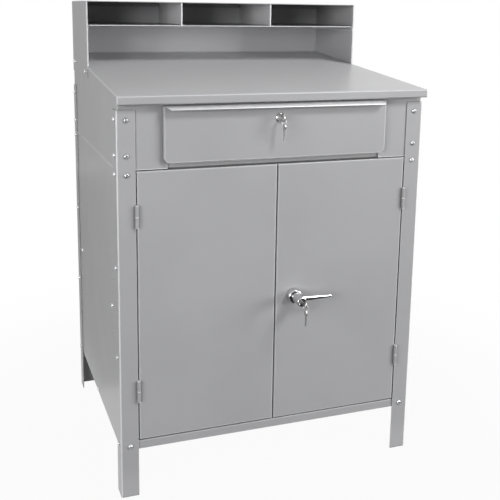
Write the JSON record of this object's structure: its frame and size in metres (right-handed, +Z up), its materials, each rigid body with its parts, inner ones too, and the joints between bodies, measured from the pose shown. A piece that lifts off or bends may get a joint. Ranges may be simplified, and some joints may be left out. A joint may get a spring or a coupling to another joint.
{
  "type": "workshop desk",
  "caption": "Standing steel workshop desk on angle legs, with a sloping top, pigeonhole riser, locking drawer and a cabinet behind hinged doors with a lever lock.",
  "frame": {"origin": "on the floor, in the middle of the desk's overall width and depth", "axes": "+Z up, the front with drawer and doors towards -Y, +X to the right of someone facing the front"},
  "size_m": [0.8844, 0.8422, 1.332],
  "materials": {
    "grey_paint": "semi-gloss grey enamel",
    "chrome": "bright plated",
    "bright_aluminium": "satin bright",
    "zinc_steel": "bright zinc plated",
    "plain_steel": "plain bright steel"
  },
  "bodies": {
    "carcass": {"leg_front_left": "grey_paint", "leg_front_right": "grey_paint", "leg_rear_left": "grey_paint", "leg_rear_right": "grey_paint", "lower_side_left": "grey_paint", "lower_side_right": "grey_paint", "lower_back": "grey_paint", "bottom_shelf": "grey_paint", "middle_shelf": "grey_paint", "front_rail": "grey_paint", "housing_side_left": "grey_paint", "housing_side_right": "grey_paint", "housing_front": "grey_paint", "housing_back": "grey_paint", "worktop": "grey_paint", "runner_left": "zinc_steel", "runner_right": "zinc_steel", "riser_side_left": "grey_paint", "riser_side_right": "grey_paint", "riser_back": "grey_paint", "riser_top": "grey_paint", "riser_shelf": "grey_paint", "riser_divider_left": "grey_paint", "riser_divider_right": "grey_paint", "bolts": "zinc_steel", "nuts": "zinc_steel", "left_hinge_leg_leaves": "grey_paint", "right_hinge_leg_leaves": "grey_paint", "left_hinge_pins": "plain_steel", "right_hinge_pins": "plain_steel"},
    "drawer": {"drawer_front": "grey_paint", "drawer_tray": "grey_paint", "drawer_tray_front": "grey_paint", "drawer_tray_back": "grey_paint", "drawer_pull": "bright_aluminium", "drawer_lock_body": "chrome", "drawer_lock_nut": "zinc_steel"},
    "drawer_lock": {"drawer_lock_plug": "chrome", "drawer_lock_cam": "zinc_steel", "drawer_key": "chrome"},
    "drawer_ring": {"drawer_key_ring": "plain_steel"},
    "drawer_spare": {"drawer_spare_key": "chrome"},
    "left_door": {"left_door_panel": "grey_paint", "left_hinge_door_leaves": "grey_paint"},
    "right_door": {"right_door_panel": "grey_paint", "right_hinge_door_leaves": "grey_paint", "handle_rose": "chrome", "rod_guides": "zinc_steel"},
    "handle": {"handle_lever": "chrome", "handle_spindle": "zinc_steel", "spindle_screw": "zinc_steel", "latch_cam": "zinc_steel"},
    "upper_rod_body": {"upper_rod": "zinc_steel"},
    "lower_rod_body": {"lower_rod": "zinc_steel"},
    "handle_lock": {"handle_lock_plug": "chrome", "handle_key": "chrome"},
    "handle_ring": {"handle_key_ring": "plain_steel"},
    "handle_spare": {"handle_spare_key": "chrome"}
  },
  "joints": [
    {"name": "drawer_slide", "type": "slide", "parent": "carcass", "child": "drawer", "axis": [0, -1, 0], "range_m": [0, 0.42]},
    {"name": "left_door_hinge", "type": "hinge", "parent": "carcass", "child": "left_door", "pos_m": [-0.3877, -0.32795, 0.307], "axis": [0, 0, -1], "range_deg": [0, 180]},
    {"name": "right_door_hinge", "type": "hinge", "parent": "carcass", "child": "right_door", "pos_m": [0.3877, -0.32795, 0.307], "axis": [0, 0, 1], "range_deg": [0, 180]},
    {"name": "handle_turn", "type": "hinge", "parent": "right_door", "child": "handle", "pos_m": [0.054, -0.38735, 0.529], "axis": [0, 1, 0], "range_deg": [0, 90]},
    {"name": "upper_rod_slide", "type": "slide", "parent": "right_door", "child": "upper_rod_body", "axis": [0, 0, 1], "range_m": [0, 0.02547]},
    {"name": "lower_rod_slide", "type": "slide", "parent": "right_door", "child": "lower_rod_body", "axis": [0, 0, -1], "range_m": [0, 0.02547]},
    {"name": "handle_key_turn", "type": "hinge", "parent": "handle", "child": "handle_lock", "pos_m": [0.054, -0.38775, 0.529], "axis": [0, 1, 0], "range_deg": [0, 90]},
    {"name": "handle_ring_swing", "type": "hinge", "parent": "handle_lock", "child": "handle_ring", "pos_m": [0.054, -0.41215, 0.5276], "axis": [1, 0, 0], "range_deg": [-40, 8]},
    {"name": "handle_spare_swing", "type": "hinge", "parent": "handle_ring", "child": "handle_spare", "pos_m": [0.054, -0.41215, 0.5136], "axis": [1, 0, 0], "range_deg": [-25, 8]},
    {"name": "drawer_key_turn", "type": "hinge", "parent": "drawer", "child": "drawer_lock", "pos_m": [0, -0.33645, 1.032], "axis": [0, 1, 0], "range_deg": [0, 90]},
    {"name": "drawer_ring_swing", "type": "hinge", "parent": "drawer_lock", "child": "drawer_ring", "pos_m": [0, -0.36085, 1.0306], "axis": [1, 0, 0], "range_deg": [-40, 8]},
    {"name": "drawer_spare_swing", "type": "hinge", "parent": "drawer_ring", "child": "drawer_spare", "pos_m": [0, -0.36085, 1.0166], "axis": [1, 0, 0], "range_deg": [-25, 8]}
  ],
  "couplings": [
    {"joint": "upper_rod_slide", "follows": "handle_turn", "m_per_rad": 0.016205},
    {"joint": "lower_rod_slide", "follows": "handle_turn", "m_per_rad": 0.016205}
  ]
}
